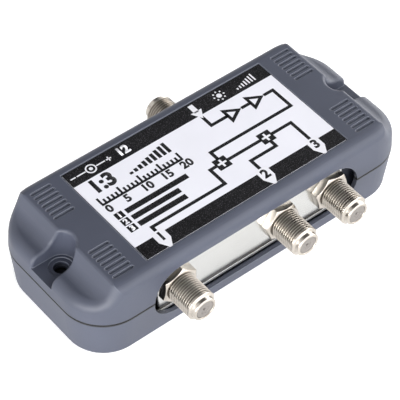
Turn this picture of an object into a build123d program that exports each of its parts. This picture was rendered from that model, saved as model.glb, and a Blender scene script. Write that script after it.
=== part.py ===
from build123d import *
import math
import os

# TV signal amplifier: a two-part moulded case round a tinplate screening can, with one
# coaxial input behind and three coaxial outputs in front. Millimetres. The origin is the
# middle of the underside, X runs along the case, -Y is the front with the three outputs.

# Case
case_length = 118.0
case_width = 49.3
case_height = 28.0
corner_radius = 13.5
wall = 1.5
floor_thickness = 1.8
top_thickness = 2.0
parting_height = 14.35
foot_draw_in = 1.4
crown_draw_in = 0.83
seam_gap = 0.3
tongue_height = 1.6
tongue_thickness = 0.7
tongue_clearance = 0.1
rim_radius = 3.5
bottom_edge_radius = 0.8

# Sloped ends of the cover, seen from the side
crest_inset = 9.8
valley_inset = 6.9
valley_rise = 7.8
end_rise = 6.8
crest_radius = 1.2
valley_radius = 5.0

# Mounting scoops and the holes in their floors
mounting_inset = 7.3
scoop_radius = 4.5
scoop_floor_rise = 3.3
scoop_floor_thickness = 2.0
scoop_rim_radius = 1.0
mounting_hole_radius = 2.25
mounting_ring_radius = 3.6
mounting_ring_depth = 0.25
mounting_post_radius = 4.5

# Grooves on the plateau
groove_count = 7
groove_length = 7.0
groove_width = 1.05
groove_pitch = 1.84
groove_depth = 0.45
groove_inset = 14.7
groove_group_offset = 13.5

# Label and its recess
label_length = 73.1
label_width = 39.4
label_thickness = 0.2
label_clearance = 0.35
label_recess_depth = 0.25

# Screws that hold the two halves
screw_y = 15.6
screw_radius = 1.45
screw_clearance = 0.1
screw_length = 18.5
screw_head_radius = 2.7
screw_head_height = 2.0
screw_head_clearance = 0.25
screw_head_depth = 2.8
screw_recess_radius = 1.5
screw_recess_width = 0.7
screw_recess_depth = 1.2
screw_tip_length = 1.5
lower_post_radius = 4.0
upper_post_radius = 3.2
post_gap = 0.3
post_can_gap = 1.45

# Ports: their spacing along the case, their places as shares of it, and how the hexagons are turned
port_pitch = 18.87
output_shares = {"output_a": -1.5, "output_b": 0.5, "output_c": 1.5}
input_share = 0.5
jack_share = -1.5
led_share = 1.0
trimmer_share = 1.5
hexagon_angles = {"output_a": 22.0, "output_b": 52.0, "output_c": 45.7, "input": 36.0}

# Windows that show the can: how far they start below its foot and end below its top
window_foot_drop = 0.55
window_head_drop = 1.25

# Tinplate can
can_end_margin = 6.495
can_width = 43.4
can_floor_gap = 3.15
can_ceiling_gap = 1.55
can_corner_radius = 1.2
tin_thickness = 0.5
lid_thickness = 0.3
lid_flange_height = 1.2
lid_clearance = 0.05
lid_corner_radius = 0.35
lug_length = 3.0
lug_depth = 2.2
lug_thickness = 0.5
lug_spread = 44.0
can_rib_width = 1.2
can_rib_spread = 38.0
can_rib_length = 36.0
rib_gap = 0.3

# Coaxial connector
hex_across_flats = 11.0
hex_thickness = 2.7
hex_face_radius = 5.3
hex_corner_drop = 0.6
thread_radius = 4.76
thread_root_radius = 4.2
thread_pitch = 0.794
thread_turns = 10
thread_start = 0.3
land_length = 0.76
nose_radius = 3.85
nose_step = 0.9
nose_length = 0.8
nose_chamfer = 0.3
barrel_flat = 4.5
connector_bore_radius = 2.95
connector_spigot_radius = 4.0
connector_spigot_length = 1.3
spigot_clearance = 0.05
insulator_clearance = 0.04
insulator_recess = 0.15
insulator_hole_radius = 0.6
insulator_hole_depth = 1.6
insulator_dish_radius = 1.5
insulator_dish_depth = 0.2
contact_radius = 0.8
contact_clearance = 0.03
contact_bore_radius = 0.45
contact_bore_depth = 6.0
contact_tail_radius = 0.4
contact_tail_length = 4.0

# Circuit board, soldered along its edges to lugs in the can
board_thickness = 1.6
board_edge_gap = 0.25
board_tail_gap = 0.02

# DC inlet, held in a notch of the board
jack_width = 9.0
jack_height = 9.6
jack_length = 14.0
jack_projection = 1.6
jack_flange = 0.8
jack_wall_clearance = 0.2
jack_bore_radius = 3.1
jack_bore_depth = 10.0
jack_pin_radius = 1.0
jack_pin_recess = 1.0
jack_pin_tail = 1.2
jack_pin_tip = 0.4
jack_shoulder_width = 1.0
jack_shoulder_height = 1.5
jack_slot_width = 2.2
jack_slot_depth = 0.9
jack_spring_width = 1.8
jack_spring_thickness = 0.3
jack_spring_length = 9.0
jack_spring_rise = 0.35
jack_spring_gap = 0.1

# Gain trimmer, standing on the board behind the can wall
trimmer_board_gap = 0.7
trimmer_lid_gap = 0.77
trimmer_body_depth = 4.8
trimmer_wall_gap = 0.9
trimmer_foot_width = 7.0
trimmer_rotor_radius = 2.4
trimmer_rotor_clearance = 0.06
trimmer_pocket_depth = 3.6
trimmer_end_gap = 0.05
trimmer_projection = 0.2
trimmer_hole_clearance = 0.35
trimmer_slot_width = 0.8
trimmer_slot_length = 3.6
trimmer_slot_depth = 1.2

# Status lamp, bent forward over the board
led_radius = 1.5
led_length = 4.0
led_flange_radius = 1.9
led_flange_thickness = 0.8
led_rise = 3.2
led_hole_clearance = 0.2
led_lead_width = 0.5
led_lead_spread = 1.27
led_lead_reach = 2.4

# Parts on the board
regulator_length = 6.5
regulator_width = 6.0
regulator_height = 2.3
regulator_tab_length = 1.5
regulator_tab_thickness = 0.6
chip_length = 4.6
chip_width = 2.5
chip_height = 1.5
chip_tab_length = 0.7
chip_tab_thickness = 0.4
core_length = 7.0
core_width = 4.2
core_height = 5.6
core_hole_radius = 0.8
core_hole_pitch = 2.8
core_corner_radius = 0.8
wire_radius = 0.2
wire_bow = 1.0
supply_capacitor_radius = 3.15
supply_capacitor_lid_gap = 2.27
supply_capacitor_bead = 0.35
supply_capacitor_crimp = 1.4
choke_radius = 3.0
choke_core_radius = 1.4
choke_height = 6.0
choke_cheek = 0.8
choke_winding_radius = 2.5
choke_winding_gap = 0.05
capacitor_chip = (2.0, 1.25, 0.9)
resistor_chip = (1.6, 0.8, 0.45)
diode_body = (4.3, 2.6, 2.2)
diode_chamfer = 0.3

# How far every cutting tool runs past what it cuts
overrun = 1.0

# Ridges of the thread, as radius against share of the pitch
thread_shares = [(thread_radius, 0.45), (thread_radius, 0.6), (thread_root_radius, 1.0)]

# How straight a rim edge may be, and how wide a chip's tabs are against the chip
rim_share = 0.001
tab_share = 0.67

# Heights and planes that several pieces share
half_length = case_length / 2
half_width = case_width / 2
base_top = parting_height - seam_gap / 2
cover_bottom = parting_height + seam_gap / 2
base_draft = math.atan2(foot_draw_in, parting_height)
cover_draft = math.atan2(crown_draw_in, case_height - parting_height)
crest_x = half_length - crest_inset
valley_height = parting_height + valley_rise
end_height = parting_height + end_rise
mounting_x = half_length - mounting_inset
scoop_floor_height = parting_height + scoop_floor_rise
scoop_floor_underside = scoop_floor_height - scoop_floor_thickness
cover_ceiling = case_height - top_thickness
can_length = port_pitch * 3 + can_end_margin * 2
can_bottom = floor_thickness + can_floor_gap
can_top = cover_ceiling - can_ceiling_gap
can_face = can_width / 2
port_height = (can_bottom + can_top) / 2
window_foot = can_bottom - window_foot_drop
window_head = can_top - window_head_drop
window_radius = (window_head - window_foot) / 2
window_height = (window_head + window_foot) / 2
screw_x = can_length / 2 + lid_clearance + lid_thickness + post_can_gap + lower_post_radius
board_top = port_height - contact_tail_radius - board_tail_gap
board_bottom = board_top - board_thickness
headroom = can_top - lid_thickness - board_top
supply_capacitor_height = headroom - supply_capacitor_lid_gap
trimmer_body_radius = (headroom - trimmer_board_gap - trimmer_lid_gap) / 2
trimmer_axis_rise = trimmer_board_gap + trimmer_body_radius
hex_face = can_face + hex_thickness
thread_length = thread_pitch * thread_turns
connector_tip = hex_face + thread_start + thread_length + land_length + nose_step + nose_length
rear_inner_face = can_face - tin_thickness


def rounded_block(length, width, radius, low, high):
    """A block with rounded vertical corners, from one height to another."""
    outline = RectangleRounded(length, width, radius)
    return Pos(0, 0, low) * extrude(outline, high - low)


def outline(inset):
    """The case seen from above at the seam, drawn in by an inset."""
    return RectangleRounded(case_length - 2 * inset, case_width - 2 * inset, corner_radius - inset)


def upright_block(inset, low, high):
    """The outline run straight up from one height to another."""
    return Pos(0, 0, low) * extrude(outline(inset), high - low)


def cover_block(inset, low, high):
    """The outline between two heights, drawn in by the draft of the cover as it rises."""
    drawn_in = inset + (low - parting_height) * math.tan(cover_draft)
    return Pos(0, 0, low) * extrude(outline(drawn_in), high - low, taper=math.degrees(cover_draft))


def base_block(inset, low, high):
    """The outline between two heights, drawn in by the draft of the base as it goes down."""
    drawn_in = inset + (parting_height - high) * math.tan(base_draft)
    solid = extrude(outline(drawn_in), high - low, taper=math.degrees(base_draft))
    return Pos(0, 0, high) * Rot(180, 0, 0) * solid


def block(x_low, x_high, y_low, y_high, z_low, z_high):
    """A plain block between six planes."""
    size = (x_high - x_low, y_high - y_low, z_high - z_low)
    centre = ((x_low + x_high) / 2, (y_low + y_high) / 2, (z_low + z_high) / 2)
    return Pos(*centre) * Box(*size)


def rod(radius, x, y, low, high):
    """An upright cylinder."""
    return Pos(x, y, (low + high) / 2) * Cylinder(radius, high - low)


def rod_along_y(radius, x, z, low, high):
    """A cylinder that points to the front or the back."""
    return Pos(x, (low + high) / 2, z) * Rot(90, 0, 0) * Cylinder(radius, high - low)


def side_points(inset, rise):
    """The case seen from the front: flat top, steep ends, then sloping lobes down to the ends."""
    top = case_height - inset
    valley = half_length - valley_inset - inset
    drop = case_height - valley_height
    run = valley - (crest_x - inset / 2)
    crest = valley - run * (drop + rise) / drop
    end = half_length - inset
    right = [(crest, top + rise), (valley, valley_height - inset), (end, end_height - inset), (end, 0)]
    left = [(-x, z) for x, z in reversed(right)]
    return left + right


def side_block(inset, rise):
    """The side view run through the width of the case, with the valleys rounded."""
    profile = make_face(Plane.XZ * Polyline(*side_points(inset, rise), close=True))
    solid = extrude(profile, half_width + overrun, both=True)
    return fillet(bends_at(solid, valley_height - inset), valley_radius)


def bends_at(solid, height):
    """The bends across the case at a given height."""
    return solid.edges().filter_by(Axis.Y).filter_by_position(Axis.Z, height - seam_gap, height + seam_gap)


def scoop(inset, floor):
    """The U-shaped scoop at the +X end, grown by an inset, open upwards and outwards."""
    radius = scoop_radius + inset
    top = case_height + overrun
    end = half_length + overrun
    round_end = rod(radius, mounting_x, 0, floor, top)
    return round_end + block(mounting_x, end, -radius, radius, floor, top)


def both_ends(solid):
    """A solid at the +X end and its mirror image at the other end."""
    return [solid, mirror(solid, Plane.YZ)]


def windows():
    """The long round-ended windows cut through the front and rear walls."""
    shape = SlotCenterToCenter(port_pitch * 3, window_radius * 2)
    depth = foot_draw_in + wall + 2 * overrun
    slot = extrude(Plane.XZ * shape, depth / 2, both=True)
    y = half_width + overrun - depth / 2
    return [Pos(0, side * y, window_height) * slot for side in (-1, 1)]


def tongue(grow, inner, low, high):
    """The ring on the base that enters the cover, left out beside the scoops."""
    outer = upright_block(wall - tongue_thickness - grow, low, high)
    ring = outer - upright_block(inner, low - overrun, high + overrun)
    reach = scoop_radius + wall + tongue_thickness - grow
    for side in (-1, 1):
        x_low = min(side * mounting_x, side * (half_length + overrun))
        x_high = max(side * mounting_x, side * (half_length + overrun))
        ring -= block(x_low, x_high, -reach, reach, low - overrun, high + overrun)
    return ring


def corner_places(x, y):
    """The four places at plus and minus x and y."""
    return [(x, y), (-x, y), (-x, -y), (x, -y)]


def outer_cover():
    """The cover's outer shape: a rounded crown cut off by rounded sloping ends."""
    crown = cover_block(0, cover_bottom, case_height)
    crown = fillet(crown.faces().sort_by(Axis.Z)[-1].edges(), rim_radius)
    rise = corner_radius
    ends = cover_block(0, cover_bottom, case_height + rise) & side_block(0, rise)
    ends = fillet(sloping_rim(ends, case_height + rise), rim_radius)
    rounded = side_block(0, 0)
    rounded = fillet(bends_at(rounded, case_height), crest_radius)
    return crown & ends & rounded


def sloping_rim(solid, top):
    """The edges where the sloping ends meet the upright walls, below a given top."""
    rim = []
    for edge in solid.edges():
        middle = edge.center()
        direction = edge.tangent_at(0.5)
        upright = abs(direction.Z) > 1 - rim_share
        bend = edge.geom_type == GeomType.LINE and abs(direction.Y) > 1 - rim_share
        inner_bend = bend and abs(middle.X) < half_length - crown_draw_in
        outside = middle.Z < cover_bottom + seam_gap or middle.Z > top - seam_gap
        if not (upright or inner_bend or outside):
            rim.append(edge)
    return rim


def scoop_rim(solid):
    """The edges where the upright walls of the scoops meet the outer surface of the cover."""
    rim = []
    for edge in solid.edges():
        points = [edge.position_at(share) for share in (0, 0.5, 1)]
        upright = abs(edge.tangent_at(0.5).Z) > 1 - rim_share
        high = edge.center().Z > scoop_floor_height + seam_gap
        if high and not upright and all(on_scoop_wall(point) for point in points):
            rim.append(edge)
    return rim


def on_scoop_wall(point):
    """Whether a point lies on the upright wall of a scoop."""
    past_centre = max(mounting_x - abs(point.X), 0)
    distance = math.hypot(past_centre, point.Y)
    return abs(distance - scoop_radius) < scoop_radius * rim_share


def grooves():
    """Cutters for the four groups of short grooves on the plateau."""
    height = groove_depth + overrun
    cutter = extrude(SlotOverall(groove_length, groove_width), height)
    x = half_length - groove_inset
    first = groove_group_offset - groove_pitch * (groove_count - 1) / 2
    places = []
    for row in range(groove_count):
        y = first + groove_pitch * row
        places += corner_places(x, y)
    return [Pos(px, py, case_height - groove_depth) * cutter for px, py in places]


def upper_cover():
    """The moulded top half."""
    cover = outer_cover()
    for cut in both_ends(scoop(0, scoop_floor_height)):
        cover -= cut
    cover = fillet(scoop_rim(cover), scoop_rim_radius)
    cavity = cover_block(wall, cover_bottom - overrun, cover_ceiling) & side_block(wall, 0)
    for keep in both_ends(scoop(wall, scoop_floor_underside)):
        cavity -= keep
    cover -= cavity
    rebate_top = base_top + tongue_height + seam_gap
    cover -= tongue(tongue_clearance, wall + overrun, base_top, rebate_top)
    for x, y in corner_places(screw_x, screw_y):
        cover += rod(upper_post_radius, x, y, base_top + post_gap, cover_ceiling + top_thickness / 2)
    for rib in can_ribs(can_top + rib_gap, cover_ceiling + top_thickness / 2):
        cover += rib
    for x in (-mounting_x, mounting_x):
        low = scoop_floor_underside - overrun
        cover -= rod(mounting_hole_radius, x, 0, low, case_height)
        cover -= rod(mounting_ring_radius, x, 0, scoop_floor_height - mounting_ring_depth, case_height)
    for x, y in corner_places(screw_x, screw_y):
        cover -= rod(screw_radius + screw_clearance, x, y, 0, screw_tip_height() + screw_clearance)
    for cutter in windows() + grooves():
        cover -= cutter
    recess_length = label_length + 2 * label_clearance
    recess_width = label_width + 2 * label_clearance
    floor = case_height - label_recess_depth
    cover -= rounded_block(recess_length, recess_width, label_clearance, floor, case_height + overrun)
    return cover


def can_ribs(low, high):
    """The two long ribs that the can rests on below, or nearly touches above."""
    length = can_rib_length / 2
    half = can_rib_width / 2
    ribs = []
    for y in (-can_rib_spread / 2, can_rib_spread / 2):
        ribs.append(block(-length, length, y - half, y + half, low, high))
    return ribs


def screw_tip_height():
    """How high the tips of the case screws reach."""
    return screw_head_depth + screw_length


def lower_base():
    """The moulded bottom half."""
    outer = base_block(0, 0, base_top)
    foot = outer.faces().sort_by(Axis.Z)[0].edges()
    outer = fillet(foot, bottom_edge_radius)
    base = outer - base_block(wall, floor_thickness, base_top + overrun)
    base += tongue(0, wall, base_top - tongue_height, base_top + tongue_height)
    for x in (-mounting_x, mounting_x):
        base += rod(mounting_post_radius, x, 0, floor_thickness / 2, scoop_floor_underside)
        base -= rod(mounting_hole_radius, x, 0, -overrun, case_height)
    for x, y in corner_places(screw_x, screw_y):
        base += rod(lower_post_radius, x, y, floor_thickness / 2, base_top)
        base -= rod(screw_radius + screw_clearance, x, y, -overrun, case_height)
        base -= rod(screw_head_radius + screw_head_clearance, x, y, -overrun, screw_head_depth)
    for rib in can_ribs(floor_thickness / 2, can_bottom):
        base += rib
    for cutter in windows():
        base -= cutter
    return base


def case_screws():
    """The four self-tapping screws, driven from below."""
    screws = []
    head_top = screw_head_depth
    head_bottom = head_top - screw_head_height
    for x, y in corner_places(screw_x, screw_y):
        tip = screw_tip_height()
        shank = rod(screw_radius, x, y, head_top - screw_head_height / 2, tip - screw_tip_length)
        cone = Cone(screw_radius, screw_radius / 3, screw_tip_length)
        point = Pos(x, y, tip - screw_tip_length / 2) * cone
        head = rod(screw_head_radius, x, y, head_bottom, head_top)
        low_rim = head.faces().sort_by(Axis.Z)[0].edges()
        head = fillet(low_rim, screw_head_height / 3)
        arm = screw_recess_radius
        half = screw_recess_width / 2
        deep = head_bottom + screw_recess_depth
        cross = block(x - arm, x + arm, y - half, y + half, head_bottom - overrun, deep)
        cross += block(x - half, x + half, y - arm, y + arm, head_bottom - overrun, deep)
        screws.append(shank + point + head - cross)
    return screws


def label():
    """The printed sticker."""
    bottom = case_height - label_recess_depth
    return rounded_block(label_length, label_width, label_clearance, bottom, bottom + label_thickness)


def can_frame():
    """The folded wall of the can, with its holes and the lugs that carry the board."""
    low = can_bottom + lid_thickness
    high = can_top - lid_thickness
    outer = rounded_block(can_length, can_width, can_corner_radius, low, high)
    inner_radius = can_corner_radius - tin_thickness
    inner_length = can_length - 2 * tin_thickness
    inner_width = can_width - 2 * tin_thickness
    frame = outer - rounded_block(inner_length, inner_width, inner_radius, low - overrun, high + overrun)
    inside = inner_width / 2
    for side in (-1, 1):
        for x in (-lug_spread / 2, 0, lug_spread / 2):
            wall_y = side * inside
            inner_y = side * (inside - lug_depth)
            y_low = min(wall_y, inner_y)
            y_high = max(wall_y, inner_y)
            half = lug_length / 2
            frame += block(x - half, x + half, y_low, y_high, board_bottom - lug_thickness, board_bottom)
    hole = connector_spigot_radius + spigot_clearance
    for place in output_shares.values():
        x = place * port_pitch
        frame -= rod_along_y(hole, x, port_height, -can_face - overrun, -can_face + tin_thickness + overrun)
    y_low = rear_inner_face - overrun
    y_high = can_face + overrun
    frame -= rod_along_y(hole, input_share * port_pitch, port_height, y_low, y_high)
    x = jack_share * port_pitch
    half = jack_width / 2 + jack_wall_clearance
    z_low = port_height - jack_height / 2 - jack_wall_clearance
    z_high = port_height + jack_height / 2 + jack_wall_clearance
    frame -= block(x - half, x + half, y_low, y_high, z_low, z_high)
    x = led_share * port_pitch
    frame -= rod_along_y(led_radius + led_hole_clearance, x, board_top + led_rise, y_low, y_high)
    x = trimmer_share * port_pitch
    radius = trimmer_rotor_radius + trimmer_hole_clearance
    frame -= rod_along_y(radius, x, board_top + trimmer_axis_rise, y_low, y_high)
    return frame


def can_lid(outside, direction):
    """A pressed lid: a plate with a short flange outside the wall of the can."""
    grow = lid_clearance + lid_thickness
    length = can_length + 2 * grow
    width = can_width + 2 * grow
    low = min(outside, outside + direction * lid_flange_height)
    high = max(outside, outside + direction * lid_flange_height)
    lid = rounded_block(length, width, can_corner_radius + grow, low, high)
    rim = lid.faces().sort_by(Axis.Z)[-1 if direction < 0 else 0].edges()
    lid = fillet(rim, lid_corner_radius)
    plate = outside + direction * lid_thickness
    past = outside + direction * (lid_flange_height + overrun)
    inner_length = can_length + 2 * lid_clearance
    inner_width = can_width + 2 * lid_clearance
    radius = can_corner_radius + lid_clearance
    return lid - rounded_block(inner_length, inner_width, radius, min(plate, past), max(plate, past))


def barrel_points():
    """Half section of a connector's outside, as radius against distance from the can."""
    points = [(0, -connector_spigot_length)]
    points.append((connector_spigot_radius, -connector_spigot_length))
    points.append((connector_spigot_radius, 0))
    points.append((thread_root_radius, 0))
    start = hex_thickness + thread_start
    points.append((thread_root_radius, start))
    for turn in range(thread_turns):
        foot = start + turn * thread_pitch
        for radius, share in thread_shares:
            points.append((radius, foot + thread_pitch * share))
    land = start + thread_length
    points.append((thread_radius, land + (thread_radius - thread_root_radius) / 2))
    land += land_length
    points.append((thread_radius, land))
    points.append((nose_radius, land + nose_step))
    tip = land + nose_step + nose_length
    points.append((nose_radius, tip - nose_chamfer))
    points.append((nose_radius - nose_chamfer, tip))
    points.append((0, tip))
    return points


def hexagon(turn):
    """The hexagon of a connector with its outer corners bevelled, turned about the axis."""
    flats = RegularPolygon(hex_across_flats / 2, 6, major_radius=False, rotation=turn)
    prism = extrude(flats, hex_thickness)
    reach = hex_across_flats / math.sqrt(3)
    bevel = [(0, 0), (reach, 0), (reach, hex_thickness - hex_corner_drop), (hex_face_radius, hex_thickness)]
    bevel.append((0, hex_thickness))
    crown = revolve(make_face(Plane.XZ * Polyline(*bevel, close=True)), Axis.Z, 360)
    return prism & crown


def connector_body(turn):
    """A connector body that points along +Z from the face of the can."""
    section = make_face(Plane.XZ * Polyline(*barrel_points(), close=True))
    barrel = revolve(section, Axis.Z, 360)
    tip = connector_tip - can_face
    reach = thread_radius + overrun
    for side in (-1, 1):
        x_low = min(side * barrel_flat, side * reach)
        x_high = max(side * barrel_flat, side * reach)
        barrel -= block(x_low, x_high, -reach, reach, hex_thickness, tip + overrun)
    body = barrel + hexagon(turn)
    return body - rod(connector_bore_radius, 0, 0, -connector_spigot_length - overrun, tip + overrun)


def connector_insulator():
    """The plastic core of a connector, along +Z from the face of the can."""
    tip = connector_tip - can_face - insulator_recess
    radius = connector_bore_radius - insulator_clearance
    core = rod(radius, 0, 0, -connector_spigot_length, tip)
    core -= rod(insulator_dish_radius, 0, 0, tip - insulator_dish_depth, tip + overrun)
    core -= rod(insulator_hole_radius, 0, 0, 0, tip + overrun)
    seat = tip - insulator_hole_depth
    core -= rod(contact_radius + contact_clearance, 0, 0, -connector_spigot_length - overrun, seat)
    return core


def connector_contact():
    """The centre socket of a connector with its tail over the board."""
    seat = connector_tip - can_face - insulator_recess - insulator_hole_depth
    socket = rod(contact_radius, 0, 0, -connector_spigot_length, seat)
    socket -= rod(contact_bore_radius, 0, 0, seat - contact_bore_depth, seat + overrun)
    tail_end = -connector_spigot_length - contact_tail_length
    return socket + rod(contact_tail_radius, 0, 0, tail_end, -connector_spigot_length / 2)


def to_front(solid, place):
    """Turn a connector piece towards the front and move it to its port."""
    return Pos(place * port_pitch, -can_face, port_height) * Rot(90, 0, 0) * solid


def to_rear(solid, place):
    """Turn a connector piece towards the back and move it to its port."""
    return Pos(place * port_pitch, can_face, port_height) * Rot(-90, 0, 0) * solid


def circuit_board():
    """The board, with a notch at the back for the DC inlet."""
    half_x = can_length / 2 - tin_thickness - board_edge_gap
    half_y = can_face - connector_spigot_length - board_edge_gap
    board = block(-half_x, half_x, -half_y, half_y, board_bottom, board_top)
    x = jack_share * port_pitch
    half = jack_width / 2 + jack_wall_clearance
    depth = jack_length + jack_pin_tail - jack_projection + jack_wall_clearance
    board -= block(x - half, x + half, can_face - depth, half_y + overrun, 0, board_top + overrun)
    return board


def dc_jack_body():
    """The moulded inlet: bore for the plug, slot for the side spring, shoulders on the board."""
    x = jack_share * port_pitch
    front = can_face + jack_projection
    back = front - jack_length
    half = jack_width / 2
    low = port_height - jack_height / 2
    high = port_height + jack_height / 2
    body = block(x - half, x + half, back, front, low, high)
    body = chamfer(body.edges().filter_by(Axis.Y), jack_flange)
    shoulder = half + jack_shoulder_width
    inner = rear_inner_face - board_edge_gap
    body += block(x - shoulder, x + shoulder, back, inner, board_top, board_top + jack_shoulder_height)
    body -= rod_along_y(jack_bore_radius, x, port_height, front - jack_bore_depth, front + overrun)
    body -= rod_along_y(jack_pin_radius, x, port_height, back - overrun, front)
    slot = jack_slot_width / 2
    slot_low = port_height - jack_bore_radius - jack_slot_depth
    slot_high = port_height - jack_bore_radius / 2
    return body - block(x - slot, x + slot, back - overrun, front - jack_flange, slot_low, slot_high)


def dc_jack_pin():
    """The centre pin of the inlet."""
    x = jack_share * port_pitch
    front = can_face + jack_projection - jack_pin_recess
    back = can_face + jack_projection - jack_length - jack_pin_tail
    pin = rod_along_y(jack_pin_radius, x, port_height, back, front)
    tip = pin.faces().sort_by(Axis.Y)[-1].edges()
    return fillet(tip, jack_pin_tip)


def dc_jack_spring():
    """The bowed side contact in the slot under the bore."""
    x = jack_share * port_pitch
    front = can_face + jack_projection - jack_flange - jack_spring_gap
    back = can_face + jack_projection - jack_length
    low = port_height - jack_bore_radius - jack_slot_depth + jack_spring_gap
    middle = (front + back) / 2
    crown = low + jack_spring_rise
    thick = jack_spring_thickness
    line = [
        (back - jack_pin_tail, low),
        (middle - jack_spring_length / 4, low),
        (middle, crown),
        (middle + jack_spring_length / 4, crown),
        (front, low),
    ]
    upper = [(y, z + thick) for y, z in reversed(line)]
    strip = make_face(Plane.YZ * Polyline(*line, *upper, close=True))
    return Pos(x, 0, 0) * extrude(strip, jack_spring_width / 2, both=True)


def gain_trimmer_body():
    """The trimmer's round moulded body on its flat foot."""
    x = trimmer_share * port_pitch
    z = board_top + trimmer_axis_rise
    front = rear_inner_face - trimmer_wall_gap
    back = front - trimmer_body_depth
    body = rod_along_y(trimmer_body_radius, x, z, back, front)
    half = trimmer_foot_width / 2
    body += block(x - half, x + half, back, front, board_top, z)
    pocket = trimmer_rotor_radius + trimmer_rotor_clearance
    return body - rod_along_y(pocket, x, z, front - trimmer_pocket_depth, front + overrun)


def gain_trimmer_rotor():
    """The part that a screwdriver turns, reaching out through the can."""
    x = trimmer_share * port_pitch
    z = board_top + trimmer_axis_rise
    front = can_face + trimmer_projection
    back = rear_inner_face - trimmer_wall_gap - trimmer_pocket_depth + trimmer_end_gap
    rotor = rod_along_y(trimmer_rotor_radius, x, z, back, front)
    wide = trimmer_slot_width / 2
    long = trimmer_slot_length / 2
    deep = front - trimmer_slot_depth
    rotor -= block(x - wide, x + wide, deep, front + overrun, z - long, z + long)
    return rotor - block(x, x + long, deep, front + overrun, z - wide, z + wide)


def status_led():
    """The lamp: a flanged cylinder with a domed end in its hole."""
    x = led_share * port_pitch
    z = board_top + led_rise
    tip = can_face + led_radius
    back = tip - led_length - led_radius
    lens = rod_along_y(led_radius, x, z, back, tip - led_radius)
    dome = Pos(x, tip - led_radius, z) * Sphere(led_radius)
    flange = rod_along_y(led_flange_radius, x, z, back, back + led_flange_thickness)
    return lens + dome + flange


def led_leads():
    """Two square leads from the lamp, bent down to the board."""
    x = led_share * port_pitch
    z = board_top + led_rise
    back = can_face - led_length
    half = led_lead_width / 2
    leads = []
    for side in (-1, 1):
        middle = x + side * led_lead_spread
        run = block(middle - half, middle + half, back - led_lead_reach, back, z - half, z + half)
        drop_y = back - led_lead_reach
        drop = block(middle - half, middle + half, drop_y, drop_y + led_lead_width, board_top, z + half)
        leads.append(run + drop)
    return leads


def board_block(x, y, length, width, height):
    """A block that stands on the board, by its middle and size."""
    return Pos(x, y, board_top + height / 2) * Box(length, width, height)


def chip(x, y, length, width, height, tab_length, tab_thickness):
    """A moulded chip with a solder tab at each end."""
    body = board_block(x, y, length, width, height)
    return body + board_block(x, y, length + 2 * tab_length, width * tab_share, tab_thickness)


def binocular_core(x, y):
    """A two-hole ferrite core, its holes along Y."""
    half_y = core_width / 2
    core = board_block(x, y, core_length, core_width, core_height)
    core = fillet(core.edges().filter_by(Axis.Y), core_corner_radius)
    z = board_top + core_height / 2
    for side in (-1, 1):
        hole_x = x + side * core_hole_pitch / 2
        core -= rod_along_y(core_hole_radius, hole_x, z, y - half_y - overrun, y + half_y + overrun)
    return core


def core_winding(x, y):
    """A hairpin of enamelled wire through both holes of a core, its ends on the board."""
    z = board_top + core_height / 2
    half_x = core_hole_pitch / 2
    near = y - core_width / 2 - wire_bow
    far = y + core_width / 2 + wire_bow
    low = board_top
    left = x - half_x
    right = x + half_x
    route = [(left, near, low), (left, near, z), (left, far, z)]
    route += [(right, far, z), (right, near, z), (right, near, low)]
    radii = [wire_bow / 2] * (len(route) - 2)
    path = FilletPolyline(*route, radius=radii)
    start = Plane(origin=path @ 0, z_dir=path % 0)
    return sweep(start * Circle(wire_radius), path)


def supply_capacitor(x, y):
    """A can-type electrolytic capacitor with its crimped groove."""
    high = board_top + supply_capacitor_height
    radius = supply_capacitor_radius
    can = rod(radius, x, y, board_top, high)
    can = fillet(can.faces().sort_by(Axis.Z)[-1].edges(), supply_capacitor_bead)
    crimp = Torus(radius + supply_capacitor_bead / 2, supply_capacitor_bead)
    return can - Pos(x, y, board_top + supply_capacitor_crimp) * crimp


def supply_choke(x, y):
    """The drum core of the supply choke."""
    high = board_top + choke_height
    core = rod(choke_core_radius, x, y, board_top, high)
    core += rod(choke_radius, x, y, board_top, board_top + choke_cheek)
    return core + rod(choke_radius, x, y, high - choke_cheek, high)


def choke_winding(x, y):
    """The wire on the drum core, as one sleeve."""
    low = board_top + choke_cheek + choke_winding_gap
    high = board_top + choke_height - choke_cheek - choke_winding_gap
    sleeve = rod(choke_winding_radius, x, y, low, high)
    return sleeve - rod(choke_core_radius + choke_winding_gap, x, y, low - overrun, high + overrun)


def chips_in_rows(size, places):
    """Small chip parts, one solid at each place on the board."""
    return [board_block(x, y, *size) for x, y in places]


def reverse_diode(x, y):
    """The diode that guards against a wrongly poled supply."""
    body = board_block(x, y, *diode_body)
    return chamfer(body.faces().sort_by(Axis.Z)[-1].edges(), diode_chamfer)


def board_spot(x_share, y_share):
    """A place on the board, as shares of half the can's length and width."""
    return (x_share * can_length / 2, y_share * can_width / 2)


capacitor_shares = [(-0.62, -0.5), (-0.42, -0.3), (0.05, -0.45), (0.2, 0.1), (0.45, -0.05)]
capacitor_shares += [(0.62, -0.5), (0.72, 0.1)]
resistor_shares = [(-0.7, -0.2), (-0.3, -0.55), (-0.12, 0.1), (0.12, 0.45), (0.35, -0.45)]
resistor_shares += [(0.55, 0.3), (0.8, -0.25)]
splitter_shares = [(-0.1, -0.3), (0.5, -0.3)]
amplifier_shares = [(0.35, 0.35), (0.02, 0.3)]
regulator_share = (-0.3, 0.35)
supply_capacitor_share = (-0.82, -0.05)
choke_share = (-0.5, 0.05)
diode_share = (-0.42, 0.62)


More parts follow.
